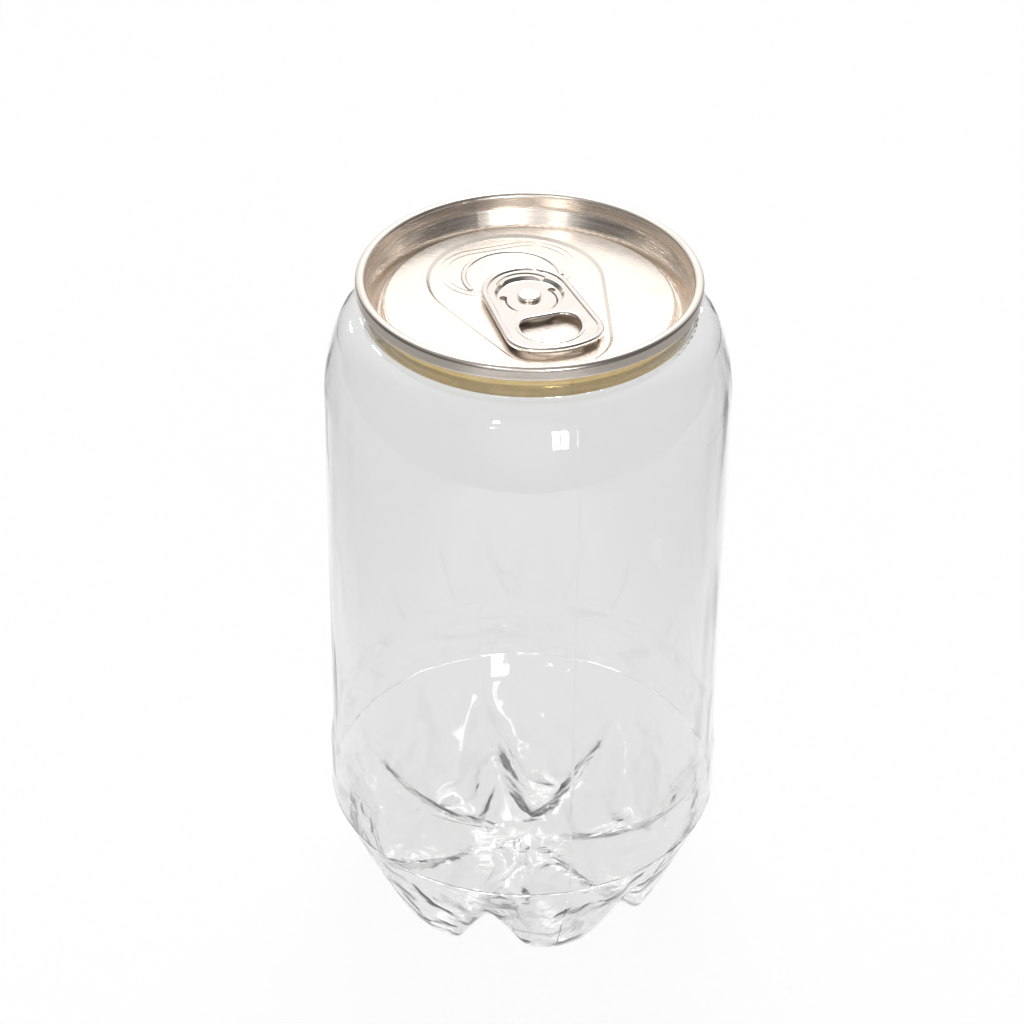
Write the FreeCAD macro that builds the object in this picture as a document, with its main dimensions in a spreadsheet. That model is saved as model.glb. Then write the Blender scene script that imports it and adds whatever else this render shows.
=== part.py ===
import FreeCAD, Part
import Sketcher
import math
import os

# An empty, sealed drink can: a clear blow-moulded PET shell with a petal base, closed by a
# double-seamed aluminium end that carries a stay-on tab.
# Frame: millimetres, +Z up, origin at the centre of the standing plane, front towards -Y.

V = FreeCAD.Vector
UP = V(0, 0, 1)

doc = FreeCAD.newDocument("plastic_can")

# ---------------------------------------------------------------------------
# Driving sizes
# ---------------------------------------------------------------------------

SIZES = [
    # whole can
    ("overall_height", 119.4, "standing plane to the top of the rim"),
    ("body_radius", 32.3, "outside of the straight wall"),
    ("wall", 0.38, "PET wall"),
    # foot of the wall
    ("heel_bulge", 0.5, "how far the heel stands out from the wall"),
    ("heel_band", 9.0, "height of the heel above the parting ring"),
    ("heel_ramp", 4.0, "height over which the wall runs out to the heel"),
    ("heel_bend", 12.0, "radius of the bends into the heel"),
    ("ring_height", 20.4, "standing plane to the parting ring"),
    ("parting_step", 0.08, "step left by the mould at the parting ring"),
    # petal base
    ("foot_count", 7, "feet"),
    ("foot_turn", -75.0, "direction of one foot, degrees from +X"),
    ("foot_radius", 24.6, "outer edge of the feet on the standing plane"),
    ("foot_tread", 4.6, "radial width of a foot's tread"),
    ("foot_round", 2.4, "softness of a foot's outer edge"),
    ("pad_flat", 0.1, "how much the treads are flattened"),
    ("strap_depth", 17.4, "parting ring down to the middle of the base"),
    ("groove_fall", 1.9, "steepness of a valley's sides"),
    ("groove_radius", 2.0, "radius along the floor of a valley"),
    ("groove_blend", 1.7, "softness of a valley's upper edges"),
    ("hub_radius", 3.0, "flat disc in the middle of the base"),
    ("gate_radius", 1.5, "moulding stub under the disc"),
    ("gate_length", 0.9, "length of the stub"),
    # neck and shoulder
    ("neck_length", 3.5, "straight neck under the seam"),
    ("neck_bend", 0.5, "bend from neck to shoulder"),
    ("crown_share", 0.469, "shoulder crown, as a share of the step from neck to wall"),
    ("crown_fall", 0.17, "drop to the crown, in the same steps"),
    ("shoulder_fall", 1.45, "drop to the end of the shoulder, in the same steps"),
    ("crown_bend", 0.95, "crown radius, in the same steps"),
    ("shoulder_bend", 4.6, "lower shoulder radius, in the same steps"),
    # double seam
    ("seam_radius", 27.05, "outside of the seam"),
    ("seam_height", 2.45, "height of the seam"),
    ("seam_crown", 0.72, "radius of the rim's top edges"),
    ("metal", 0.22, "sheet of the end"),
    ("seam_gap", 0.03, "gap between two layers of the seam"),
    ("hook_gap", 0.12, "gap beyond the tip of a hook"),
    ("hook_corner", 0.20, "inner radius where the end's sheet turns under a hook's tip"),
    ("hook_flat", 0.01, "straight left between two bends of a hook"),
    # end
    ("chuck_drop", 2.6, "rim to the knee of the chuck wall"),
    ("chuck_run", 1.6, "how far the chuck wall leans in"),
    ("countersink_depth", 6.3, "rim to the floor of the countersink"),
    ("countersink_width", 1.0, "width of the countersink"),
    ("panel_depth", 4.47, "rim to the panel"),
    ("panel_bend", 0.5, "radius round the panel"),
    # recessed panel
    ("recess_depth", 0.35, "depth of the teardrop recess"),
    ("recess_slope", 0.55, "width of the recess's sloping edge"),
    ("recess_nose", 6.5, "centre of the recess's wide end"),
    ("recess_nose_margin", 2.9, "flat panel left beyond the wide end"),
    ("recess_tail", 11.1, "centre of the recess's narrow end"),
    ("recess_tail_margin", 3.2, "flat panel left beyond the narrow end"),
    # tear panel
    ("tear_centre", 10.4, "rivet to the middle of the tear panel"),
    ("tear_half_width", 11.0, "half width of the tear panel"),
    ("tear_end_radius", 7.3, "radius of the tear panel's ends"),
    ("score_width", 0.2, "width of a score line"),
    ("score_depth", 0.07, "depth of a score line"),
    ("score_spacing", 1.1, "score line to guard line"),
    ("bead_radius", 7.7, "arc of the stiffening bead"),
    ("bead_centre", 8.0, "rivet to the centre of that arc"),
    ("bead_half_angle", 103.0, "half of the arc, degrees"),
    ("bead_section", 0.55, "section radius of the bead"),
    ("bead_rise", 0.28, "height of the bead"),
    # rivet
    ("boss_radius", 2.5, "raised seat round the rivet"),
    ("boss_rise", 0.55, "height of that seat"),
    ("shank_radius", 1.4, "rivet shank"),
    ("button_radius", 1.85, "rivet head"),
    ("button_height", 0.62, "thickness of the head"),
    ("button_round", 0.3, "edge radius of the head"),
    # tab
    ("tab_turn", 110.0, "direction of the tab's nose, degrees from +X"),
    ("tab_nose_centre", 1.0, "rivet to the centre of the nose"),
    ("tab_nose_radius", 7.2, "radius of the nose"),
    ("tab_tail", 16.9, "rivet to the finger end"),
    ("tab_tail_half_width", 7.85, "half width at the finger end"),
    ("tab_tail_radius", 12.8, "radius of the finger end"),
    ("tab_corner_radius", 5.0, "radius of its corners"),
    ("tab_sheet", 0.25, "sheet of the tab"),
    ("curl_radius", 0.55, "outside radius of the curled edge"),
    ("tab_gap", 0.6, "recess floor to the underside of the tab"),
    ("web_drop", 0.35, "curled edge down to the flat web"),
    ("island_radius", 5.0, "floor of the sunk island round the rivet"),
    ("island_slope", 0.7, "width of the slope down to the island"),
    ("plate_gap", 0.02, "gap under the rivet head"),
    ("shank_gap", 0.05, "gap round the rivet shank"),
    ("hole_centre", 9.65, "rivet to the centre of the finger hole"),
    ("hole_radius", 4.75, "finger hole"),
    ("hole_corner_radius", 2.3, "its corners on the rivet side"),
    ("hole_corner_offset", 2.4, "half the straight edge between them"),
    ("hem_radius", 0.4, "outside radius of the hole's hem"),
    ("hem_rise", 0.15, "web up to the top of the hem"),
    ("slot_centre", 1.8, "centre of the crescent slot's arc"),
    ("slot_radius", 4.3, "arc of the crescent slot"),
    ("slot_width", 0.85, "width of the crescent slot"),
    ("slot_half_angle", 57.0, "half of its arc, degrees"),
    ("lance_centre", 1.0, "rivet to the centre of the lance's arc"),
    ("lance_radius", 4.0, "arc of the lance round the rivet"),
    ("lance_width", 0.3, "width of the lance"),
    ("lance_half_angle", 115.0, "half of its arc, degrees"),
    ("lance_eye_radius", 0.6, "round hole at each end of the lance"),
    ("notch_width", 0.4, "relief notch in the curl"),
    ("notch_offset", 5.6, "notch from the tab's centre line"),
]

sheet = doc.addObject("Spreadsheet::Sheet", "Sizes")
for row, (alias, value, note) in enumerate(SIZES, start=1):
    sheet.set("A%d" % row, note)
    sheet.set("B%d" % row, str(value))
    sheet.setAlias("B%d" % row, alias)
doc.recompute()


def size(alias):
    """A driving size as a plain number."""
    return float(getattr(sheet, alias))


def cell(formula):
    """A formula over the sheet's aliases, as FreeCAD writes it in an expression."""
    words = {alias for alias, _, _ in SIZES}
    out, word = "", ""
    for letter in formula + " ":
        if letter.isalnum() or letter == "_":
            word += letter
            continue
        out += ("Sizes." + word if word in words else word) + letter
        word = ""
    return out.strip()


def value_of(formula):
    """The same formula as a number, read back from the document."""
    return float(sheet.evalExpression(cell(formula)))


def make(kind, name, **bound):
    """Add an object and bind its properties to formulas over the sheet."""
    thing = doc.addObject(kind, name)
    for prop, formula in bound.items():
        thing.setExpression(prop, cell(formula))
    return thing


def put(thing, x="0", y="0", z="0", turn=None):
    """Bind an object's place, and turn it about the vertical by a plain angle."""
    if turn is not None:
        thing.Placement = FreeCAD.Placement(V(), FreeCAD.Rotation(UP, turn))
    for axis, formula in (("x", x), ("y", y), ("z", z)):
        thing.setExpression("Placement.Base." + axis, cell(formula))
    return thing


def fuse(name, *parts):
    joined = doc.addObject("Part::MultiFuse", name)
    joined.Shapes = list(parts)
    return joined


def cut(name, base, tool):
    result = doc.addObject("Part::Cut", name)
    result.Base = base
    result.Tool = tool
    return result


def common(name, first, second):
    result = doc.addObject("Part::MultiCommon", name)
    result.Shapes = [first, second]
    return result


# ---------------------------------------------------------------------------
# Sketch and solid helpers
# ---------------------------------------------------------------------------

def bind(sketch, constraint, formula):
    """Add a dimension and bind it to the sheet."""
    index = sketch.addConstraint(constraint)
    sketch.setExpression("Constraints[%d]" % index, cell(formula))


def pin(sketch, geometry, spot, x, y):
    """Hold a point of a sketch at a place given by two formulas."""
    bind(sketch, Sketcher.Constraint("DistanceX", -1, 1, geometry, spot, value_of(x)), x)
    bind(sketch, Sketcher.Constraint("DistanceY", -1, 1, geometry, spot, value_of(y)), y)


def arc_through(centre, start, end):
    """The anticlockwise arc from start to end."""
    angles = [math.atan2(point.y - centre.y, point.x - centre.x) for point in (start, end)]
    return Part.ArcOfCircle(Part.Circle(centre, UP, (start - centre).Length), *angles)


def rounded_chain(name, corners, closed=False):
    """A profile in the XZ plane: straight runs joined by tangent bends.

    corners holds (x, z, radius) formulas, with no radius at the two ends. Each bend's corner
    is a construction point held by its formulas, so the whole profile follows the sheet. A
    closed profile has one more line, from its last point back to its first.
    """
    sketch = doc.addObject("Sketcher::SketchObject", name)
    sketch.Placement = FreeCAD.Placement(V(), FreeCAD.Rotation(V(1, 0, 0), 90))
    points = [V(value_of(x), value_of(z), 0) for x, z, _ in corners]
    bends = {}
    for i, (_, _, radius) in enumerate(corners[1:-1], start=1):
        back = (points[i - 1] - points[i]).normalize()
        ahead = (points[i + 1] - points[i]).normalize()
        half = back.getAngle(ahead) / 2
        reach = value_of(radius) / math.tan(half)
        centre = points[i] + (back + ahead).normalize() * (value_of(radius) / math.sin(half))
        left = back.cross(ahead).z < 0
        bends[i] = (centre, points[i] + back * reach, points[i] + ahead * reach, left)
    lines = []
    for i in range(len(points) - 1):
        start = bends[i][2] if i in bends else points[i]
        end = bends[i + 1][1] if i + 1 in bends else points[i + 1]
        lines.append(sketch.addGeometry(Part.LineSegment(start, end), False))
    pin(sketch, lines[0], 1, *corners[0][:2])
    pin(sketch, lines[-1], 2, *corners[-1][:2])
    for i, (centre, first, last, left) in bends.items():
        x, z, radius = corners[i]
        corner = sketch.addGeometry(Part.Point(points[i]), True)
        pin(sketch, corner, 1, x, z)
        sketch.addConstraint(Sketcher.Constraint("PointOnObject", corner, 1, lines[i - 1]))
        sketch.addConstraint(Sketcher.Constraint("PointOnObject", corner, 1, lines[i]))
        arc = arc_through(centre, first, last) if left else arc_through(centre, last, first)
        bend = sketch.addGeometry(arc, False)
        near, far = (1, 2) if left else (2, 1)
        sketch.addConstraint(Sketcher.Constraint("Tangent", lines[i - 1], 2, bend, near))
        sketch.addConstraint(Sketcher.Constraint("Tangent", bend, far, lines[i], 1))
        bind(sketch, Sketcher.Constraint("Radius", bend, value_of(radius)), radius)
    if closed:
        back = sketch.addGeometry(Part.LineSegment(points[-1], points[0]), False)
        sketch.addConstraint(Sketcher.Constraint("Coincident", back, 1, lines[-1], 2))
        sketch.addConstraint(Sketcher.Constraint("Coincident", back, 2, lines[0], 1))
    return sketch


def sheet_section(name, corners, thickness):
    """The closed section of a sheet whose outer face follows a rounded chain."""
    section = make("Part::Offset2D", name, Value=thickness)
    section.Source = rounded_chain(name + "_line", corners)
    section.Mode = "Skin"
    section.Join = "Intersection"
    section.Fill = True
    return section


def revolve(name, section):
    turned = doc.addObject("Part::Revolution", name)
    turned.Source = section
    turned.Axis = UP
    turned.Angle = 360
    turned.Solid = True
    return turned


def arc_loop(sketch, arcs):
    """Add a closed convex outline of arcs, anticlockwise, to a sketch.

    arcs holds (x, y, radius, joint): formulas for the centre and radius, and how the arc meets
    the next one: along a tangent "line", or where they "touch". An arc off the X axis that
    touches a neighbour has its centre free to slide along X until it does.
    """
    centres = [V(value_of(x), value_of(y), 0) for x, y, _, _ in arcs]
    radii = [value_of(radius) for _, _, radius, _ in arcs]
    count = len(arcs)
    enter, leave = [None] * count, [None] * count
    for i, (_, _, _, joint) in enumerate(arcs):
        k = (i + 1) % count
        gap = centres[k] - centres[i]
        if joint == "line":
            heading = math.atan2(gap.y, gap.x) - math.acos((radii[i] - radii[k]) / gap.Length)
            normal = V(math.cos(heading), math.sin(heading), 0)
            leave[i], enter[k] = centres[i] + normal * radii[i], centres[k] + normal * radii[k]
        else:
            gap = gap.normalize() * (1 if radii[i] > radii[k] else -1)
            leave[i] = enter[k] = centres[i] + gap * radii[i]
    bends = [sketch.addGeometry(arc_through(centres[i], enter[i], leave[i]), False)
             for i in range(count)]
    for i, (x, y, radius, joint) in enumerate(arcs):
        k = (i + 1) % count
        bind(sketch, Sketcher.Constraint("Radius", bends[i], radii[i]), radius)
        bind(sketch, Sketcher.Constraint("DistanceY", -1, 1, bends[i], 3, centres[i].y), y)
        if y == "0" or "touch" not in (joint, arcs[i - 1][3]):
            bind(sketch, Sketcher.Constraint("DistanceX", -1, 1, bends[i], 3, centres[i].x), x)
        if joint == "line":
            side = sketch.addGeometry(Part.LineSegment(leave[i], enter[k]), False)
            sketch.addConstraint(Sketcher.Constraint("Tangent", bends[i], 2, side, 1))
            sketch.addConstraint(Sketcher.Constraint("Tangent", side, 2, bends[k], 1))
        else:
            sketch.addConstraint(Sketcher.Constraint("Tangent", bends[i], 2, bends[k], 1))


def outline(name, z, *loops):
    """A horizontal sketch at a height, holding one or more closed outlines."""
    sketch = put(doc.addObject("Sketcher::SketchObject", name), z=z)
    for loop in loops:
        arc_loop(sketch, loop)
    return sketch


def extrude(name, sketch, length):
    solid = make("Part::Extrusion", name, LengthFwd=length)
    solid.Base = sketch
    solid.DirMode = "Custom"
    solid.Dir = UP
    solid.Solid = True
    return solid


def loft(name, lower, upper):
    solid = doc.addObject("Part::Loft", name)
    solid.Sections = [lower, upper]
    solid.Solid = True
    solid.Ruled = True
    return solid


def cylinder(name, radius, low, high, x="0", y="0"):
    shape = make("Part::Cylinder", name, Radius=radius, Height="(%s) - (%s)" % (high, low))
    return put(shape, x, y, low)


def cone(name, low_radius, high_radius, low, high):
    shape = make("Part::Cone", name, Radius1=low_radius, Radius2=high_radius,
                 Height="(%s) - (%s)" % (high, low))
    return put(shape, z=low)


def arc_slot(name, centre, radius, width, half_angle, facing, low, high):
    """A tool that cuts a round-ended slot along an arc about a point of the X axis."""
    height = "(%s) - (%s)" % (high, low)
    rings = []
    for edge, sign in (("outer", "+"), ("inner", "-")):
        ring = make("Part::Cylinder", "%s_%s" % (name, edge), Height=height,
                    Radius="%s %s %s / 2" % (radius, sign, width), Angle="2 * " + half_angle)
        rings.append(put(ring, centre, "0", low, facing - value_of(half_angle)))
    tips = []
    for side, sign in (("left", "+"), ("right", "-")):
        reach = "%s * cos((%g %s %s) * 1 deg)" % (radius, facing, sign, half_angle)
        offset = "%s * sin((%g %s %s) * 1 deg)" % (radius, facing, sign, half_angle)
        tips.append(cylinder("%s_%s_tip" % (name, side), width + " / 2", low, high,
                             "%s + %s" % (centre, reach), offset))
    return fuse(name, cut(name + "_band", *rings), *tips)


CURL_TIP = -120
CURL_ROOT = 175


def rolled_edge(name, path, radius, side):
    """A sheet edge curled under along a closed path; side is 1 outwards, -1 inwards."""
    section = doc.addObject("Sketcher::SketchObject", name + "_section")
    inner = "%s - tab_sheet" % radius
    first, last = math.radians(CURL_TIP), math.radians(CURL_ROOT)
    arcs = []
    for formula in (radius, inner):
        circle = Part.Circle(V(), UP, value_of(formula))
        arc = section.addGeometry(Part.ArcOfCircle(circle, first, last), False)
        section.addConstraint(Sketcher.Constraint("Coincident", arc, 3, -1, 1))
        bind(section, Sketcher.Constraint("Radius", arc, value_of(formula)), formula)
        arcs.append(arc)
    for spot, angle in ((1, first), (2, last)):
        ends = [V(math.cos(angle), math.sin(angle), 0) * value_of(formula)
                for formula in (radius, inner)]
        edge = section.addGeometry(Part.LineSegment(*ends), False)
        section.addConstraint(Sketcher.Constraint("Coincident", edge, 1, arcs[0], spot))
        section.addConstraint(Sketcher.Constraint("Coincident", edge, 2, arcs[1], spot))
        section.addConstraint(Sketcher.Constraint("Angle", edge, angle - math.pi))
        section.addConstraint(Sketcher.Constraint("PointOnObject", -1, 1, edge))
    doc.recompute()
    start = path.Shape.Edges[0]
    along = start.tangentAt(start.FirstParameter)
    outward = along.cross(UP) * side
    frame = FreeCAD.Matrix(outward.x, UP.x, outward.cross(UP).x, 0,
                           outward.y, UP.y, outward.cross(UP).y, 0,
                           outward.z, UP.z, outward.cross(UP).z, 0)
    section.Placement = FreeCAD.Placement(start.valueAt(start.FirstParameter),
                                          FreeCAD.Placement(frame).Rotation)
    sweep = doc.addObject("Part::Sweep", name)
    sweep.Sections = [section]
    sweep.Spine = (path, ["Edge%d" % (i + 1) for i in range(len(path.Shape.Edges))])
    sweep.Solid = True
    return sweep


# ---------------------------------------------------------------------------
# Seam stack: radii shared by the shell and the end
# ---------------------------------------------------------------------------

NECK = "(seam_radius - 2 * metal - wall - 3 * seam_gap)"
CHUCK = "(seam_radius - 3 * metal - 2 * wall - 4 * seam_gap)"
PANEL = "(seam_radius - 3 * metal - 2 * wall - 4 * seam_gap - chuck_run - countersink_width)"
FLOOR = "(-panel_depth - recess_depth)"


# ---------------------------------------------------------------------------
# PET shell
# ---------------------------------------------------------------------------

def shell_wall():
    """Body hook, neck, shoulder, wall and heel, revolved as one thin wall."""
    step = "(body_radius - %s)" % NECK
    hook = "(%s + metal + 2 * seam_gap)" % NECK
    hook_top = "overall_height - metal - seam_gap - wall"
    hook_bend = "metal / 2 + seam_gap - hook_flat"
    neck_foot = "(overall_height - seam_height - neck_length)"
    heel = "body_radius + heel_bulge"
    section = sheet_section("wall_section", [
        (hook, "overall_height - seam_height + metal + hook_gap", None),
        (hook, hook_top, hook_bend),
        (NECK, hook_top, hook_bend),
        (NECK, neck_foot, "neck_bend"),
        ("%s + crown_share * %s" % (NECK, step), "%s - crown_fall * %s" % (neck_foot, step),
         "crown_bend * " + step),
        ("body_radius", "%s - shoulder_fall * %s" % (neck_foot, step), "shoulder_bend * " + step),
        ("body_radius", "ring_height + heel_band + heel_ramp", "heel_bend"),
        (heel, "ring_height + heel_band", "heel_bend"),
        (heel, "ring_height", None),
    ], "-wall")
    return revolve("shell_wall", section)


def smooth_max(first, second, softness):
    """The larger of two heights, blended where they cross."""
    return (first + second + math.hypot(first - second, softness)) / 2


def smooth_step(share):
    share = min(max(share, 0.0), 1.0)
    return share * share * (3 - 2 * share)


class PetalBase:
    """The outer face of the blown base, as a height over radius and direction.

    Feet and valleys are both full surfaces, and the solid keeps whichever is higher: a foot
    is a cone down to a flat tread, and a valley is a V with a round floor that follows the
    strap, an ellipse from the parting ring to the middle of the base.
    """

    def __init__(self):
        self.ring = size("body_radius") + size("heel_bulge") - size("parting_step")
        self.top = size("ring_height")
        self.hub = size("hub_radius")
        self.feet = int(size("foot_count"))
        self.pitch = 2 * math.pi / self.feet
        self.hub_height = self.strap(self.hub)
        self.slope = math.atan2(self.ring - size("foot_radius"), self.top)

    def strap(self, radius):
        return self.top - size("strap_depth") * math.sqrt(max(0.0, 1 - (radius / self.ring) ** 2))

    def foot(self, radius):
        foot_radius, share = size("foot_radius"), radius / self.ring
        side = self.top * (radius - foot_radius) / (self.ring - foot_radius)
        inside = max(0.0, foot_radius - size("foot_tread") - radius)
        rise = (inside / (foot_radius - size("foot_tread") - self.hub)) ** 1.5
        tread = rise * 0.7 * self.hub_height - size("pad_flat") - TREAD_SINK
        return smooth_max(side, tread, size("foot_round") * (1 - share ** 8))

    def valley(self, radius, turn):
        across = abs((turn / self.pitch) % 1.0 - 0.5) * self.pitch
        away = radius * math.sin(across)
        floor = size("groove_radius")
        fade = smooth_step((radius - self.hub) / (0.4 * self.ring))
        return self.strap(radius) - fade * size("groove_fall") * (math.hypot(away, floor) - floor)

    def point(self, share, turn):
        """share runs from 0 at the parting ring to 1 at the hub."""
        radius = self.hub + (self.ring - self.hub) * math.cos(share * math.pi / 2)
        edge = 4 * share * (1 - share) if share < 0.5 else 1 - (2 * share - 1) ** 6
        height = smooth_max(self.foot(radius), self.valley(radius, turn),
                            size("groove_blend") * max(edge, 0.0))
        return V(radius * math.cos(turn), radius * math.sin(turn), min(height, self.top))

    def inner_point(self, share, turn):
        """The same place on the inner face: level at the ring, and along the normal below."""
        wall = size("wall")
        place = self.point(share, turn)
        level = V(-math.cos(turn), -math.sin(turn), 0) * (wall / math.cos(self.slope))
        if share == 0:
            return place + level
        if share == 1:
            return place + UP * wall
        nudge = 1e-4
        along = self.point(share + nudge, turn) - self.point(share - nudge, turn)
        across = self.point(share, turn + nudge) - self.point(share, turn - nudge)
        normal = along.cross(across).normalize()
        if normal.z < 0:
            normal = normal * -1
        lower = smooth_step(share / 0.35)
        return place + level * (1 - lower) + normal * (wall * lower)

    def curves(self, locate):
        """Closed curves round the base, from the ring to the hub."""
        count = self.feet * SAMPLES_PER_FOOT
        turns = [2 * math.pi * i / count for i in range(count)]
        wires = []
        for k in range(BASE_CURVES + 1):
            curve = Part.BSplineCurve()
            curve.interpolate(Points=[locate(k / BASE_CURVES, turn) for turn in turns],
                              PeriodicFlag=True, Parameters=[float(i) for i in range(count + 1)])
            wires.append(Part.Wire([curve.toShape()]))
        return wires

    def solid(self):
        """The base as one thin wall: two lofted faces, closed at the ring and at the hub."""
        outer, inner = self.curves(self.point), self.curves(self.inner_point)
        faces = [Part.Face([outer[0], inner[0]]), Part.Face(outer[-1]), Part.Face(inner[-1])]
        for wires in (outer, inner):
            faces += Part.makeLoft(wires, False, False).Faces
        solid = Part.Solid(Part.Shell(faces))
        solid.fix(1e-5, 1e-5, 1e-5)
        return solid


SAMPLES_PER_FOOT = 36
BASE_CURVES = 26
TREAD_SINK = 0.2


def pet_shell():
    petals = doc.addObject("Part::Feature", "petal_base")
    petals.Shape = PetalBase().solid()
    hub_height = "(ring_height - strap_depth)"
    stub = cylinder("gate_stub", "gate_radius", hub_height + " - gate_length",
                    hub_height + " + wall")
    whole = fuse("shell_whole", shell_wall(), petals, stub)
    below = make("Part::Box", "below_floor", Length="4 * body_radius", Width="4 * body_radius",
                 Height="10")
    put(below, "-2 * body_radius", "-2 * body_radius", "-10")
    shell = cut("pet_shell", whole, below)
    shell.Placement = FreeCAD.Placement(V(), FreeCAD.Rotation(UP, size("foot_turn")))
    return shell


# ---------------------------------------------------------------------------
# Aluminium end
# ---------------------------------------------------------------------------

def end_sheet():
    """Cover hook, seam wall, rim, chuck wall, countersink and panel, revolved as one sheet."""
    hook = "%s + seam_gap" % NECK
    curl = "metal + min(hook_corner; wall / 2 + seam_gap - hook_flat)"
    foot = "%s - chuck_run" % CHUCK
    channel = "countersink_width / 2"
    section = sheet_section("end_section", [
        (hook, "-metal - seam_gap - wall - hook_gap", None),
        (hook, "-seam_height", curl),
        ("seam_radius", "-seam_height", curl),
        ("seam_radius", "0", "seam_crown"),
        (CHUCK, "0", "seam_crown"),
        (CHUCK, "-chuck_drop", "2 * seam_crown"),
        (foot, "-countersink_depth", channel),
        (PANEL, "-countersink_depth", channel),
        (PANEL, "-panel_depth", "panel_bend"),
        ("0", "-panel_depth", None),
    ], "metal")
    return revolve("end_sheet", section)


def teardrop(grow):
    """The recess outline, with its wide end round the nose of the tab."""
    return [
        ("recess_nose", "0", "%s - recess_nose_margin - recess_nose + %s" % (PANEL, grow), "line"),
        ("-recess_tail", "0", "%s - recess_tail_margin - recess_tail + %s" % (PANEL, grow), "line"),
    ]


def press_recess(blank):
    """Press the teardrop into the panel, keeping the sheet's thickness."""
    under = loft("recess_under",
                 outline("recess_under_floor", FLOOR + " - metal", teardrop("0.9 * metal")),
                 outline("recess_under_lip", "-panel_depth - metal / 2",
                         teardrop("recess_slope + 0.6 * metal")))
    hollow = loft("recess_hollow",
                  outline("recess_floor", FLOOR, teardrop("0")),
                  outline("recess_lip", "-panel_depth + 0.01",
                          teardrop("recess_slope + 0.01 * recess_slope / recess_depth")))
    return cut("end_recessed", fuse("end_with_tray", blank, under), hollow)


def tear_outline(grow):
    """The tear panel: a round end each side of the tab's centre line."""
    radius = "tear_end_radius + " + grow
    return [
        ("tear_centre", "tear_half_width - tear_end_radius", radius, "line"),
        ("tear_centre", "tear_end_radius - tear_half_width", radius, "line"),
    ]


def score_line(name, inset):
    groove = outline(name + "_outline", FLOOR + " - score_depth",
                     tear_outline("(score_width / 2 - %s)" % inset),
                     tear_outline("(-score_width / 2 - %s)" % inset))
    return extrude(name, groove, "score_depth + 0.05")


def bead(name, section, z):
    """A C-shaped half-round bead on the tear panel, open towards the rivet."""
    arc = make("Part::Torus", name + "_arc", Radius1="bead_radius", Radius2=section,
               Angle3="2 * bead_half_angle")
    put(arc, "bead_centre", "0", z, -size("bead_half_angle"))
    tips = []
    for side, sign in (("left", ""), ("right", "-")):
        tip = make("Part::Sphere", "%s_%s_tip" % (name, side), Radius=section)
        tips.append(put(tip, "bead_centre + bead_radius * cos(bead_half_angle * 1 deg)",
                        sign + "bead_radius * sin(bead_half_angle * 1 deg)", z))
    return fuse(name, arc, *tips)


def rivet():
    """The rivet drawn up from the panel: a raised seat, a shank and a staked head."""
    seat = FLOOR + " + boss_rise"
    head = seat + " + tab_sheet + plate_gap"
    crown = head + " + button_height"
    button = rounded_chain("button_line", [
        ("0", crown, None),
        ("button_radius", crown, "button_round"),
        ("button_radius", head, "button_round / 4"),
        ("0", head, None),
    ], closed=True)
    solid = fuse("rivet",
                 cone("boss", "boss_radius", "boss_radius - boss_rise", FLOOR + " - metal / 2",
                      seat),
                 cylinder("shank", "shank_radius", FLOOR, head + " + button_height / 2"),
                 revolve("button", button))
    bore = fuse("rivet_bore",
                cone("boss_hollow", "boss_radius - metal", "boss_radius - metal - boss_rise",
                     FLOOR + " - 2 * metal", seat + " - metal"),
                cylinder("shank_hollow", "shank_radius - metal", FLOOR, head))
    return solid, bore


def can_end():
    blank = press_recess(end_sheet())
    sheet_under = make("Part::Box", "above_sheet_underside", Length="2 * seam_radius",
                       Width="2 * seam_radius", Height="bead_section * 2")
    put(sheet_under, "-seam_radius", "-seam_radius", FLOOR + " - metal")
    ridge_centre = FLOOR + " + bead_rise - bead_section"
    ridge = common("bead_ridge", bead("bead", "bead_section", ridge_centre), sheet_under)
    post, bore = rivet()
    raised = fuse("end_raised", blank, ridge, post)
    tools = fuse("end_tools", bore, bead("bead_channel", "bead_section - metal", ridge_centre),
                 score_line("score", "0"), score_line("guard_line", "score_spacing"))
    end = cut("can_end", raised, tools)
    end.Placement = FreeCAD.Placement(V(0, 0, size("overall_height")),
                                      FreeCAD.Rotation(UP, size("tab_turn")))
    return end


# ---------------------------------------------------------------------------
# Stay-on tab, nose along +X, standing on the recess floor
# ---------------------------------------------------------------------------

TAB_TOP = "(tab_gap + 2 * curl_radius)"
WEB_TOP = "(tab_gap + 2 * curl_radius - web_drop)"


def tab_outline(inset):
    """The tab from above, drawn inside its outer edge by inset."""
    corner_y = "(tab_tail_half_width - tab_corner_radius)"
    corner_x = "tab_tail_radius - tab_tail - sqrt((tab_tail_radius - tab_corner_radius)^2 - %s^2)" \
        % corner_y
    corner_radius = "tab_corner_radius - " + inset
    return [
        ("tab_nose_centre", "0", "tab_nose_radius - " + inset, "line"),
        (corner_x, corner_y, corner_radius, "touch"),
        ("tab_tail_radius - tab_tail", "0", "tab_tail_radius - " + inset, "touch"),
        (corner_x, "-" + corner_y, corner_radius, "line"),
    ]


def hole_outline(grow):
    """The finger hole, grown outwards by grow."""
    corner_x = "sqrt((hole_radius - hole_corner_radius)^2 - hole_corner_offset^2) - hole_centre"
    radius = "hole_corner_radius + " + grow
    return [
        ("-hole_centre", "0", "hole_radius + " + grow, "touch"),
        (corner_x, "-hole_corner_offset", radius, "line"),
        (corner_x, "hole_corner_offset", radius, "touch"),
    ]


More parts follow.
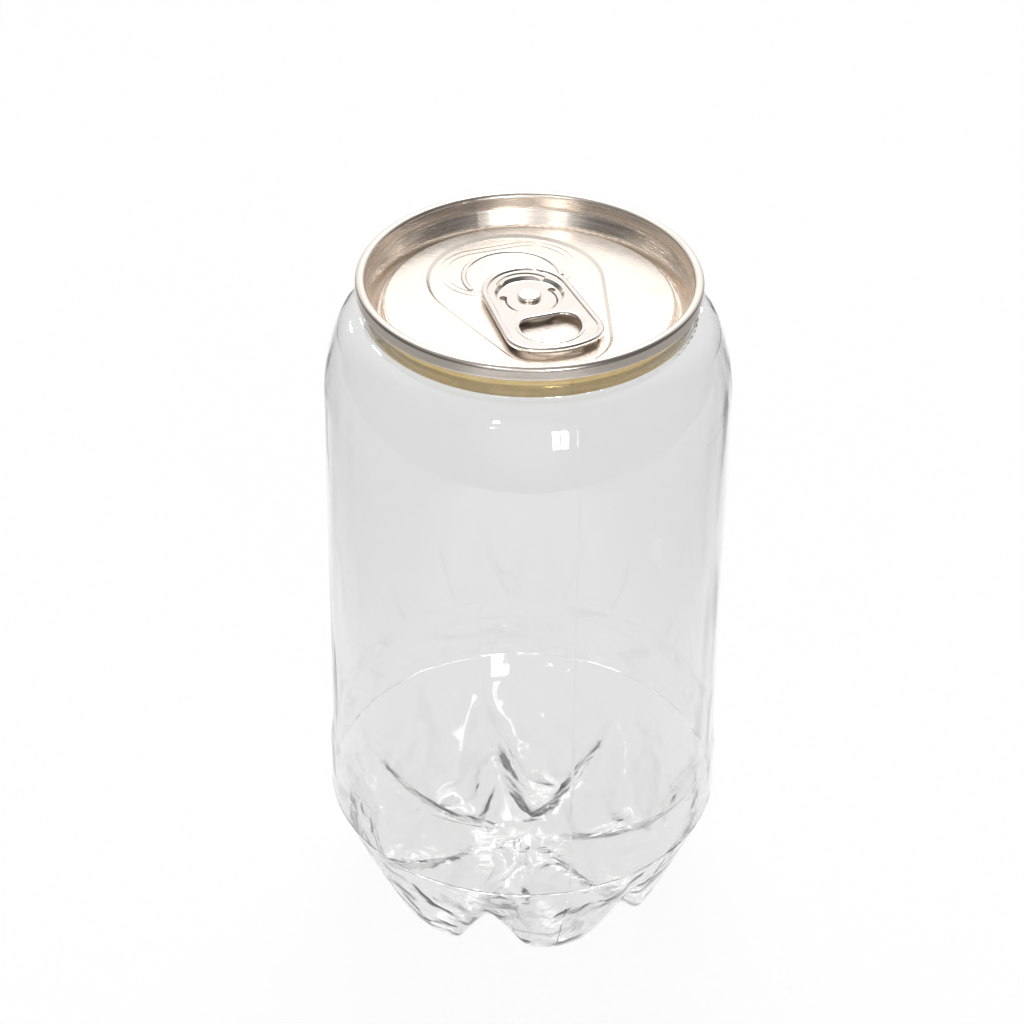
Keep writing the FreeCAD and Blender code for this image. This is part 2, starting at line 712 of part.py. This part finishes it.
def relief_notches():
    """Cuts through the lower curl where the finger end's lip meets the side curls."""
    run = size("tab_tail_radius") - size("tab_corner_radius")
    corner_y = size("tab_tail_half_width") - size("tab_corner_radius")
    corner_x = size("tab_tail_radius") - size("tab_tail") - math.sqrt(run ** 2 - corner_y ** 2)
    lean = math.asin((size("notch_offset") - corner_y) / size("tab_corner_radius"))
    notches = []
    for side, sign in (("left", 1), ("right", -1)):
        notch = make("Part::Box", side + "_notch", Length="3 * curl_radius", Width="notch_width",
                     Height="1.3 * curl_radius")
        facing = V(-math.cos(lean), sign * math.sin(lean), 0)
        reach = size("tab_corner_radius") - 2 * size("curl_radius")
        across = UP.cross(facing) * (size("notch_width") / 2)
        corner = V(corner_x, sign * corner_y, size("tab_gap") - 0.1) + facing * reach - across
        notch.Placement = FreeCAD.Placement(corner, FreeCAD.Rotation(V(1, 0, 0), facing))
        notches.append(notch)
    return notches


def pull_tab():
    island = "boss_rise"
    low, high = "-0.5", TAB_TOP + " + 0.5"
    edge_path = outline("tab_edge_path", "tab_gap + curl_radius", tab_outline("curl_radius"))
    hem_path = outline("hole_hem_path", WEB_TOP + " + hem_rise - hem_radius",
                       hole_outline("hem_radius"))
    web = extrude("web", outline("web_outline", WEB_TOP + " - tab_sheet",
                                 tab_outline("(2 * curl_radius - tab_sheet / 2)"),
                                 hole_outline("(2 * hem_radius - tab_sheet / 2)")), "tab_sheet")
    bowl = cone("island_under", "island_radius + 0.4 * tab_sheet",
                "island_radius + island_slope + 0.6 * tab_sheet", island,
                WEB_TOP + " - tab_sheet / 2")
    blank = fuse("tab_blank", web, bowl,
                 rolled_edge("edge_curl", edge_path, "curl_radius", 1),
                 rolled_edge("hole_hem", hem_path, "hem_radius", -1))
    eyes = [cylinder(side + "_eye", "lance_eye_radius", low, high,
                     "lance_radius * cos((180 - lance_half_angle) * 1 deg) - lance_centre + 0.2",
                     sign + "(lance_radius + 0.4) * sin((180 - lance_half_angle) * 1 deg)")
            for side, sign in (("left", ""), ("right", "-"))]
    tools = fuse("tab_tools",
                 cone("island_hollow", "island_radius", "island_radius + island_slope",
                      island + " + tab_sheet", TAB_TOP + " + 0.01"),
                 cylinder("rivet_hole", "shank_radius + shank_gap", low, high),
                 arc_slot("crescent", "slot_centre", "slot_radius", "slot_width",
                          "slot_half_angle", 0, low, high),
                 arc_slot("lance", "-lance_centre", "lance_radius", "lance_width",
                          "lance_half_angle", 180, low, high),
                 *eyes, *relief_notches())
    tab = cut("pull_tab", blank, tools)
    tab.Placement = FreeCAD.Placement(V(0, 0, value_of("overall_height + " + FLOOR)),
                                      FreeCAD.Rotation(UP, size("tab_turn")))
    return tab


# ---------------------------------------------------------------------------
# Build, check and write
# ---------------------------------------------------------------------------

def check_document():
    failed = [thing.Name for thing in doc.Objects if {"Invalid", "Error"} & set(thing.State)]
    if failed:
        raise RuntimeError("failed objects: %s" % ", ".join(failed))


parts = [pet_shell(), can_end(), pull_tab()]
doc.recompute()
check_document()
os.makedirs("parts", exist_ok=True)
for part in parts:
    shape = part.Shape
    if shape.isNull() or not shape.isValid() or len(shape.Solids) != 1:
        raise RuntimeError("%s is not one valid solid" % part.Label)
for part in parts:
    part.Shape.exportStep("parts/%s.step" % part.Label)
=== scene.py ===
"""Looks for the plastic can: clear PET shell, warm-silver end, stay-on tab and gold lacquer."""

import math

import bmesh
import bpy
from mathutils import Matrix, Vector

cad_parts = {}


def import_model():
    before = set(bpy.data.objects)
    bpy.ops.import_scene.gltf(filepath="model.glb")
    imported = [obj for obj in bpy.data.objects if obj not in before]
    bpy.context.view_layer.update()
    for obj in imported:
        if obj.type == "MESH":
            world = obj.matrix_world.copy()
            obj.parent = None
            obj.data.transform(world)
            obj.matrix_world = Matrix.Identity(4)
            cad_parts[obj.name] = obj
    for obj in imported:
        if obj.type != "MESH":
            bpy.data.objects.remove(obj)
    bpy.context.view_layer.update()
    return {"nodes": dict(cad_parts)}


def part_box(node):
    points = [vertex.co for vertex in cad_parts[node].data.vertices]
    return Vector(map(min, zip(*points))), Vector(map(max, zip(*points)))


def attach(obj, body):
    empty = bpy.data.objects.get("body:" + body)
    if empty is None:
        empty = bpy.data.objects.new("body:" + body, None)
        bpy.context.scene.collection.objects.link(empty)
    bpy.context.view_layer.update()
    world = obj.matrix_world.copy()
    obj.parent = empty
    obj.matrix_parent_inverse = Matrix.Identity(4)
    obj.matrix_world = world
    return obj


MM = 0.001
WHITE = (1.0, 1.0, 1.0, 1.0)

# Camera: its place from the middle of the can's rim, its turn and its lens
CAMERA_BACK = 413.4 * MM
CAMERA_RISE = 245.2 * MM
CAMERA_DIP = math.radians(35.06)
CAMERA_YAW = math.radians(-0.319)
CAMERA_ROLL = math.radians(0.696)
CAMERA_LENS = 108.92
CAMERA_SENSOR = 36.0
CAMERA_NEAREST = 10 * MM

# Gold band: a ring just inside the clear neck, from below the rim to the neck's foot
NECK_WALL_RADIUS = 25.76 * MM
NECK_LENGTH = 3.45 * MM
SEAM_HEIGHT = 2.45 * MM
LACQUER_BELOW_RIM = 1.0 * MM
LACQUER_CLEARANCE = 0.04 * MM
LACQUER_THICKNESS = 0.05 * MM
ROUND_STEPS = 256
MERGE_DISTANCE = 1e-7

# Places on the can that its finishes follow
RING_HEIGHT = 20.4 * MM
LUMPS_START = RING_HEIGHT + 4 * MM
LUMPS_FULL = RING_HEIGHT - 7 * MM
GATHER_RADIUS = 17.0 * MM
HEEL_RADIUS = 29.0 * MM
MOULD_TURN = math.radians(-75.5)
MOULD_LINE_HALF_WIDTH = 0.22 * MM
PANEL_EDGE_RADIUS = 22.6 * MM

# Clear PET: tint, roughness of the wall and of the feet, and bumps as strength and depth
PET_TINT = (0.865, 0.868, 0.863)
PET_IOR = 1.57
PET_ROUGHNESS = (0.012, 0.085)
PET_WALL_BUMP = (0.25, 1.2 * MM)
PET_LUMP_BUMP = (0.9, 3.0 * MM)
PET_LINE_BUMP = (0.6, 0.07 * MM)
FINE_NOISE_SCALE = 7.0

# Metals: the grain's range, its quieter range on the panel, then tints and roughness from
# its low to its high end, and bumps as strength and depth
GRAIN_RANGE = (0.3, 0.7)
PANEL_GRAIN = (0.40, 0.66)
END_TINTS = ((0.80, 0.70, 0.61), (0.91, 0.85, 0.79))
END_ROUGHNESS = (0.20, 0.34)
END_GRAIN_BUMP = (0.25, 0.03 * MM)
END_SHEET_BUMP = (0.2, 0.3 * MM)
TAB_TINT = (0.87, 0.815, 0.765)
TAB_ROUGHNESS = (0.12, 0.22)
TAB_GRAIN_BUMP = (0.1, 0.03 * MM)
GOLD_TINTS = ((0.62, 0.37, 0.06), (1.0, 0.80, 0.40))
GOLD_ROUGHNESS = 0.14
GOLD_DRAWN_BUMP = (0.3, 0.06 * MM)

# Pale floor: a disc set back from the can, so that its front edge shows in the shoulder. SEEN
# and THROUGH are its shares of plain white to the eye and through PET. Reflections show it
# white up to the stripe's first distance from the middle, and as MIRRORED past its second.
FLOOR_RADIUS = 0.37
FLOOR_SIDES = 96
FLOOR_BACK = 0.15
FLOOR_SINK = 0.2 * MM
FLOOR_GREY = (0.9, 0.9, 0.9, 1.0)
FLOOR_SEEN = 0.93
FLOOR_THROUGH = 1.0
FLOOR_MIRRORED = 0.42
FLOOR_STRIPE = (0.08, 0.15)

# Room: a dim level, the share of white through PET, and the brighter regions. A region is a
# direction, the cosines at which it starts and is full, and its strength.
ROOM_LEVEL = 0.12
ROOM_THROUGH = 0.95
BRIGHT_REGIONS = [
    ((0.0, 0.84, 0.54), 0.34, 0.90, 0.95),
    ((0.0, -0.97, 0.25), 0.80, 0.98, 0.60),
    ((-0.3, -0.1, 0.95), 0.55, 0.95, 0.28),
]

# Lamps: turn and rise in degrees, then distance, width and height in metres, then watts. The
# sparkle lamps differ in turn and rise alone.
SHOULDER_LAMPS = {
    "window left pane": (-75.6, 10, 0.85, 0.07, 0.27, 0.9),
    "window right pane": (-69.4, 10, 0.85, 0.07, 0.27, 0.9),
    "strip": (-111, 34, 0.8, 0.03, 0.11, 0.5),
    "small strip": (-111, 20, 0.8, 0.02, 0.02, 0.12),
}
TOP_LAMP = (90, 62, 0.8, 0.35, 0.25, 2.4)
HUB_GLOW = (94, 33, 0.7, 0.22, 0.08, 3.5)
SPARKLE = (0.7, 0.035, 0.035, 2.0)
SPARKLE_DIRECTIONS = [(62, 24), (70, 40), (84, 44), (88, 20), (104, 30), (112, 52), (126, 46),
                      (95, 8), (132, 22)]
SHOULDER_FRONT = 30 * MM
SHOULDER_BELOW_RIM = 11 * MM
BASE_HEIGHT = 10 * MM


# ---------------------------------------------------------------------------
# Node helpers
# ---------------------------------------------------------------------------

def feed(tree, node, inputs):
    """Give a node's inputs, by name or number, a value or a link from another output."""
    for socket, value in inputs.items():
        if isinstance(value, bpy.types.NodeSocket):
            tree.links.new(value, node.inputs[socket])
        else:
            node.inputs[socket].default_value = value


def add_node(tree, kind, inputs=None, **properties):
    """Add a node, set its properties and feed its inputs."""
    node = tree.nodes.new(kind)
    for name, value in properties.items():
        setattr(node, name, value)
    feed(tree, node, inputs or {})
    return node


def calculate(tree, operation, *numbers, **properties):
    """The result of a Math node on values or outputs."""
    node = add_node(tree, "ShaderNodeMath", dict(enumerate(numbers)), operation=operation,
                    **properties)
    return node.outputs["Value"]


def multiply_vectors(tree, first, second):
    node = add_node(tree, "ShaderNodeVectorMath", {0: first, 1: second}, operation="MULTIPLY")
    return node.outputs["Vector"]


def combine(tree, x, y, z):
    return add_node(tree, "ShaderNodeCombineXYZ", {"X": x, "Y": y, "Z": z}).outputs["Vector"]


def split(tree, vector):
    """The X, Y and Z of a vector."""
    return add_node(tree, "ShaderNodeSeparateXYZ", {"Vector": vector}).outputs


def object_place(tree):
    """Where a point is on the object."""
    return add_node(tree, "ShaderNodeTexCoord").outputs["Object"]


def turn_about_axis(tree, place, angle):
    """A place turned about the can's axis."""
    node = add_node(tree, "ShaderNodeVectorRotate", {"Vector": place, "Angle": angle},
                    rotation_type="Z_AXIS")
    return node.outputs["Vector"]


def axis_distance(tree, place):
    """How far a place is from the can's axis."""
    flat = multiply_vectors(tree, place, (1.0, 1.0, 0.0))
    return add_node(tree, "ShaderNodeVectorMath", {0: flat}, operation="LENGTH").outputs["Value"]


def map_range(tree, value, start=0.0, end=1.0, low=0.0, high=1.0, smooth=False):
    """Map a value from start and end to low and high, clamped."""
    node = add_node(tree, "ShaderNodeMapRange",
                    {"Value": value, "From Min": start, "From Max": end,
                     "To Min": low, "To Max": high},
                    interpolation_type="SMOOTHSTEP" if smooth else "LINEAR")
    return node.outputs["Result"]


def add_noise(tree, place, scale, detail, roughness, distortion=0.0):
    node = add_node(tree, "ShaderNodeTexNoise",
                    {"Vector": place, "Scale": scale, "Detail": detail,
                     "Roughness": roughness, "Distortion": distortion})
    return node.outputs["Fac"]


def add_bump(tree, height, bump, normal=None):
    """The normal after a bump of a strength and depth, laid over another normal if given."""
    strength, depth = bump
    inputs = {"Height": height, "Strength": strength, "Distance": depth}
    if normal:
        inputs["Normal"] = normal
    return add_node(tree, "ShaderNodeBump", inputs).outputs["Normal"]


def mix_numbers(tree, share, low, high):
    """A number from low to high. A Mix node's numbers are its inputs 2 and 3."""
    node = add_node(tree, "ShaderNodeMix", {0: share, 2: low, 3: high}, data_type="FLOAT")
    return node.outputs[0]


def mix_tints(tree, share, tints):
    """A colour from the first tint to the second. A Mix node's colours are inputs 6 and 7."""
    low, high = tints
    node = add_node(tree, "ShaderNodeMix", {0: share, 6: (*low, 1.0), 7: (*high, 1.0)},
                    data_type="RGBA")
    return node.outputs[2]


def new_material(name, inputs):
    """A material whose Principled BSDF has the given constants."""
    material = bpy.data.materials.new(name)
    material.use_nodes = True
    tree = material.node_tree
    shader = tree.nodes["Principled BSDF"]
    feed(tree, shader, inputs)
    return material, tree, shader


def new_group(name, inputs, outputs):
    """A shader node group with named number sockets, and what its input node puts out."""
    group = bpy.data.node_groups.new(name, "ShaderNodeTree")
    for socket, value in inputs.items():
        made = group.interface.new_socket(socket, in_out="INPUT", socket_type="NodeSocketFloat")
        made.default_value = value
    for socket in outputs:
        group.interface.new_socket(socket, in_out="OUTPUT", socket_type="NodeSocketFloat")
    return group, add_node(group, "NodeGroupInput").outputs


def end_group(group, results):
    add_node(group, "NodeGroupOutput", results)
    return group


def place_group(tree, group, values):
    """Place a group in a material with values of its own, and return its outputs."""
    return add_node(tree, "ShaderNodeGroup", values, node_tree=group).outputs


# ---------------------------------------------------------------------------
# Shared surface effects
# ---------------------------------------------------------------------------

def make_waviness():
    """Slow unevenness of a blown or pressed wall, with a share of finer noise, as a height."""
    group, given = new_group("uneven wall", {"Scale": 60.0, "Stretch": 1.0, "Fine": 0.3},
                             ["Height"])
    stretch = combine(group, 1.0, 1.0, given["Stretch"])
    spread = multiply_vectors(group, object_place(group), stretch)
    slow = add_noise(group, spread, given["Scale"], detail=1.0, roughness=0.4)
    fine_scale = calculate(group, "MULTIPLY", given["Scale"], FINE_NOISE_SCALE)
    fine = add_noise(group, spread, fine_scale, detail=2.0, roughness=0.5)
    height = calculate(group, "MULTIPLY_ADD", fine, given["Fine"], slow)
    return end_group(group, {"Height": height})


def make_gathered():
    """Lumps where plastic gathers: none at Top, full at Foot, and an Outside share at the heel."""
    group, given = new_group("gathered plastic",
                             {"Scale": 200.0, "Top": 0.02, "Foot": 0.01, "Outside": 0.35},
                             ["Height", "Share"])
    place = object_place(group)
    share = map_range(group, split(group, place)["Z"], given["Top"], given["Foot"],
                      smooth=True)
    lumps = add_noise(group, place, given["Scale"], detail=1.5, roughness=0.4, distortion=0.6)
    calmer = map_range(group, axis_distance(group, place), GATHER_RADIUS, HEEL_RADIUS,
                       1.0, given["Outside"], smooth=True)
    depth = calculate(group, "MULTIPLY", share, calmer)
    height = calculate(group, "MULTIPLY", lumps, depth)
    return end_group(group, {"Height": height, "Share": share})


def make_parting_line():
    """The two mould lines up opposite sides of the wall, as a height from 0 to 1."""
    group, given = new_group("parting line", {"Turn": 0.0, "Half Width": 0.2 * MM}, ["Height"])
    turned = turn_about_axis(group, object_place(group), given["Turn"])
    away = calculate(group, "ABSOLUTE", split(group, turned)["Y"])
    ridge = map_range(group, away, 0.0, given["Half Width"], 1.0, 0.0, smooth=True)
    return end_group(group, {"Height": ridge})


def make_rolled_grain():
    """Straight rolling grain of aluminium sheet: a mask from 0 to 1."""
    group, given = new_group("rolled grain", {"Length": 60.0, "Width": 5000.0, "Turn": 0.0},
                             ["Grain"])
    turned = turn_about_axis(group, object_place(group), given["Turn"])
    scale = combine(group, given["Length"], given["Width"], given["Width"])
    spread = multiply_vectors(group, turned, scale)
    grain = add_noise(group, spread, scale=1.0, detail=3.0, roughness=0.6)
    return end_group(group, {"Grain": grain})


def make_spun_lines():
    """Fine lines round the can's axis, and a mask for the metal outside Inner Radius."""
    group, given = new_group("spun lines",
                             {"Across": 5000.0, "Around": 2.0, "Inner Radius": 0.02},
                             ["Streaks", "Mask"])
    place = object_place(group)
    parts = split(group, place)
    radius = axis_distance(group, place)
    angle = calculate(group, "ARCTAN2", parts["Y"], parts["X"])
    spread = combine(group,
                     calculate(group, "MULTIPLY", radius, given["Across"]),
                     calculate(group, "MULTIPLY", parts["Z"], given["Across"]),
                     calculate(group, "MULTIPLY", angle, given["Around"]))
    streaks = add_noise(group, spread, scale=1.0, detail=3.0, roughness=0.65)
    mask = calculate(group, "GREATER_THAN", radius, given["Inner Radius"])
    return end_group(group, {"Streaks": streaks, "Mask": mask})


# ---------------------------------------------------------------------------
# Materials
# ---------------------------------------------------------------------------

def make_pet(waviness):
    """Clear PET: faintly grey, uneven on the wall, lumpy in the feet, with two mould lines."""
    material, tree, shader = new_material("clear pet", {
        "Base Color": (*PET_TINT, 1.0), "IOR": PET_IOR, "Transmission Weight": 1.0})
    uneven = place_group(tree, waviness, {"Scale": 90.0, "Stretch": 0.35, "Fine": 0.02})
    lumps = place_group(tree, make_gathered(), {"Scale": 140.0, "Top": LUMPS_START,
                                                "Foot": LUMPS_FULL, "Outside": 0.5})
    lines = place_group(tree, make_parting_line(), {"Turn": -MOULD_TURN,
                                                    "Half Width": MOULD_LINE_HALF_WIDTH})
    normal = add_bump(tree, uneven["Height"], PET_WALL_BUMP)
    normal = add_bump(tree, lumps["Height"], PET_LUMP_BUMP, normal)
    normal = add_bump(tree, lines["Height"], PET_LINE_BUMP, normal)
    wall_roughness, foot_roughness = PET_ROUGHNESS
    haze = map_range(tree, lumps["Share"], low=wall_roughness, high=foot_roughness)
    feed(tree, shader, {"Roughness": haze, "Normal": normal})
    return material


def make_end_metal(grain, spun, waviness):
    """Lacquered aluminium: rolling grain on the panel, spun lines on the chuck wall and seam."""
    material, tree, shader = new_material("end aluminium", {"Metallic": 1.0})
    lines = place_group(tree, grain, {"Length": 300.0, "Width": 5000.0, "Turn": 0.35})
    turned = place_group(tree, spun, {"Across": 5200.0, "Around": 1.6,
                                      "Inner Radius": PANEL_EDGE_RADIUS})
    uneven = place_group(tree, waviness, {"Scale": 120.0, "Stretch": 1.0, "Fine": 0.2})
    faint, strong = PANEL_GRAIN
    quiet = map_range(tree, lines["Grain"], low=faint, high=strong)
    streaks = mix_numbers(tree, turned["Mask"], quiet, turned["Streaks"])
    normal = add_bump(tree, streaks, END_GRAIN_BUMP)
    normal = add_bump(tree, uneven["Height"], END_SHEET_BUMP, normal)
    feed(tree, shader, {
        "Base Color": mix_tints(tree, streaks, END_TINTS),
        "Roughness": map_range(tree, streaks, *GRAIN_RANGE, *END_ROUGHNESS),
        "Normal": normal,
    })
    return material


def make_tab_metal(grain):
    """Tab aluminium: brighter and smoother than the end."""
    material, tree, shader = new_material("tab aluminium", {
        "Metallic": 1.0, "Base Color": (*TAB_TINT, 1.0)})
    lines = place_group(tree, grain, {"Length": 100.0, "Width": 7000.0, "Turn": -1.2})
    feed(tree, shader, {
        "Roughness": map_range(tree, lines["Grain"], *GRAIN_RANGE, *TAB_ROUGHNESS),
        "Normal": add_bump(tree, lines["Grain"], TAB_GRAIN_BUMP),
    })
    return material


def make_lacquer(spun):
    """Gold lacquer seen through the clear neck, with faint drawn lines round it."""
    material, tree, shader = new_material("gold lacquer", {
        "Metallic": 1.0, "Roughness": GOLD_ROUGHNESS})
    drawn = place_group(tree, spun, {"Across": 3200.0, "Around": 5.0, "Inner Radius": 0.0})
    feed(tree, shader, {
        "Base Color": mix_tints(tree, drawn["Streaks"], GOLD_TINTS),
        "Normal": add_bump(tree, drawn["Streaks"], GOLD_DRAWN_BUMP),
    })
    return material


def make_floor():
    """A pale floor: white through PET, and to the eye nearly white with the can's shadow."""
    material, tree, shader = new_material("pale floor", {})
    tree.nodes.remove(shader)
    path = add_node(tree, "ShaderNodeLightPath").outputs
    mirrored = calculate(tree, "SUBTRACT", path["Is Glossy Ray"], path["Is Transmission Ray"],
                         use_clamp=True)
    aside = calculate(tree, "ABSOLUTE", split(tree, object_place(tree))["X"])
    shade = map_range(tree, aside, *FLOOR_STRIPE, 0.0, FLOOR_MIRRORED - 1.0, smooth=True)
    strength = calculate(tree, "MULTIPLY_ADD", mirrored, shade, 1.0)
    share = calculate(tree, "MULTIPLY_ADD", path["Is Camera Ray"], FLOOR_SEEN, mirrored)
    share = calculate(tree, "MULTIPLY_ADD", path["Is Transmission Ray"], FLOOR_THROUGH, share)
    diffuse = add_node(tree, "ShaderNodeBsdfDiffuse", {"Color": FLOOR_GREY})
    glow = add_node(tree, "ShaderNodeEmission", {"Color": WHITE, "Strength": strength})
    mix = add_node(tree, "ShaderNodeMixShader", {
        0: share, 1: diffuse.outputs["BSDF"], 2: glow.outputs["Emission"]})
    feed(tree, tree.nodes["Material Output"], {"Surface": mix.outputs["Shader"]})
    return material


# ---------------------------------------------------------------------------
# Pieces
# ---------------------------------------------------------------------------

def mesh_object(name, bm, material):
    """Turn a bmesh into an object at the origin."""
    mesh = bpy.data.meshes.new(name)
    bm.to_mesh(mesh)
    bm.free()
    mesh.materials.append(material)
    made = bpy.data.objects.new(name, mesh)
    bpy.context.scene.collection.objects.link(made)
    return made


def gold_band(rim_height, material):
    """The lacquer behind the chuck wall, as a thin ring just inside the clear neck."""
    outside = NECK_WALL_RADIUS - LACQUER_CLEARANCE
    inside = outside - LACQUER_THICKNESS
    top = rim_height - LACQUER_BELOW_RIM
    foot = rim_height - SEAM_HEIGHT - NECK_LENGTH
    corners = [(outside, top), (outside, foot), (inside, foot), (inside, top)]
    bm = bmesh.new()
    verts = [bm.verts.new((x, 0.0, z)) for x, z in corners]
    edges = [bm.edges.new(ends) for ends in zip(verts, verts[1:] + verts[:1])]
    bmesh.ops.spin(bm, geom=verts + edges, cent=(0, 0, 0), axis=(0, 0, 1),
                   angle=2 * math.pi, steps=ROUND_STEPS, use_merge=True)
    bmesh.ops.remove_doubles(bm, verts=bm.verts, dist=MERGE_DISTANCE)
    bmesh.ops.recalc_face_normals(bm, faces=bm.faces)
    band = mesh_object("gold_band", bm, material)
    band.data.shade_smooth()
    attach(band, "root")
    return band


# ---------------------------------------------------------------------------
# Stage, lights and camera
# ---------------------------------------------------------------------------

def add_floor(material):
    bm = bmesh.new()
    bmesh.ops.create_circle(bm, cap_ends=True, radius=FLOOR_RADIUS, segments=FLOOR_SIDES)
    floor = mesh_object("floor", bm, material)
    floor.location = (0.0, FLOOR_BACK, -FLOOR_SINK)


def add_lamp(name, target, turn, rise, distance, width, height, power):
    """A rectangular lamp in a direction from its target, in degrees, facing it."""
    data = bpy.data.lights.new(name, "AREA")
    data.shape = "RECTANGLE"
    data.size = width
    data.size_y = height
    data.energy = power
    lamp = bpy.data.objects.new(name, data)
    bpy.context.scene.collection.objects.link(lamp)
    turn, rise = math.radians(turn), math.radians(rise)
    away = Vector((math.cos(rise) * math.cos(turn), math.cos(rise) * math.sin(turn),
                   math.sin(rise)))
    lamp.location = target + away * distance
    lamp.rotation_euler = away.to_track_quat("Z", "Y").to_euler()
    return lamp


def add_lamps(rim_height, shell):
    """Lamps for the whole can, and others that light its clear shell alone."""
    shoulder = Vector((0.0, -SHOULDER_FRONT, rim_height - SHOULDER_BELOW_RIM))
    base = Vector((0.0, 0.0, BASE_HEIGHT))
    for name, values in SHOULDER_LAMPS.items():
        add_lamp(name, shoulder, *values)
    add_lamp("top", base, *TOP_LAMP)
    shell_lamps = [add_lamp("sparkle %d" % i, base, *direction, *SPARKLE)
                   for i, direction in enumerate(SPARKLE_DIRECTIONS)]
    shell_lamps.append(add_lamp("hub glow", base, *HUB_GLOW))
    lit = bpy.data.collections.new("lit by the sparkle lamps")
    lit.objects.link(shell)
    for lamp in shell_lamps:
        lamp.light_linking.receiver_collection = lit


def add_world():
    """White where the eye sees it, nearly white through PET, and a dim room otherwise."""
    world = bpy.data.worlds.new("studio")
    bpy.context.scene.world = world
    world.use_nodes = True
    tree = world.node_tree
    place = add_node(tree, "ShaderNodeTexCoord").outputs["Generated"]
    light = ROOM_LEVEL
    for direction, start, full, strength in BRIGHT_REGIONS:
        facing = add_node(tree, "ShaderNodeVectorMath",
                          {0: place, 1: Vector(direction).normalized()},
                          operation="DOT_PRODUCT")
        region = map_range(tree, facing.outputs["Value"], start, full, smooth=True)
        light = calculate(tree, "MULTIPLY_ADD", region, strength, light)
    path = add_node(tree, "ShaderNodeLightPath").outputs
    through = calculate(tree, "MULTIPLY", path["Is Transmission Ray"], ROOM_THROUGH)
    white = calculate(tree, "MAXIMUM", path["Is Camera Ray"], through)
    feed(tree, tree.nodes["Background"], {
        "Color": WHITE, "Strength": mix_numbers(tree, white, light, 1.0)})


def add_camera(rim_height):
    data = bpy.data.cameras.new("camera")
    data.lens = CAMERA_LENS
    data.sensor_width = CAMERA_SENSOR
    data.clip_start = CAMERA_NEAREST
    camera = bpy.data.objects.new("camera", data)
    bpy.context.scene.collection.objects.link(camera)
    forward = Vector((math.sin(CAMERA_YAW) * math.cos(CAMERA_DIP),
                      math.cos(CAMERA_YAW) * math.cos(CAMERA_DIP), -math.sin(CAMERA_DIP)))
    right = forward.cross(Vector((0, 0, 1))).normalized()
    up = right.cross(forward)
    turn = Matrix((right, up, -forward)).transposed() @ Matrix.Rotation(CAMERA_ROLL, 3, "Z")
    place = Vector((0.0, -CAMERA_BACK, rim_height + CAMERA_RISE))
    camera.matrix_world = Matrix.Translation(place) @ turn.to_4x4()
    bpy.context.scene.camera = camera


def main():
    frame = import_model()
    nodes = frame["nodes"]
    rim_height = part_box("can_end")[1][2]
    bpy.context.scene.view_settings.view_transform = "Standard"

    waviness = make_waviness()
    grain = make_rolled_grain()
    spun = make_spun_lines()
    finishes = {
        "pet_shell": make_pet(waviness),
        "can_end": make_end_metal(grain, spun, waviness),
        "pull_tab": make_tab_metal(grain),
    }
    for name, material in finishes.items():
        mesh = nodes[name].data
        mesh.materials.clear()
        mesh.materials.append(material)
    gold = gold_band(rim_height, make_lacquer(spun))

    add_floor(make_floor())
    add_world()
    add_lamps(rim_height, nodes["pet_shell"])
    add_camera(rim_height)


main()
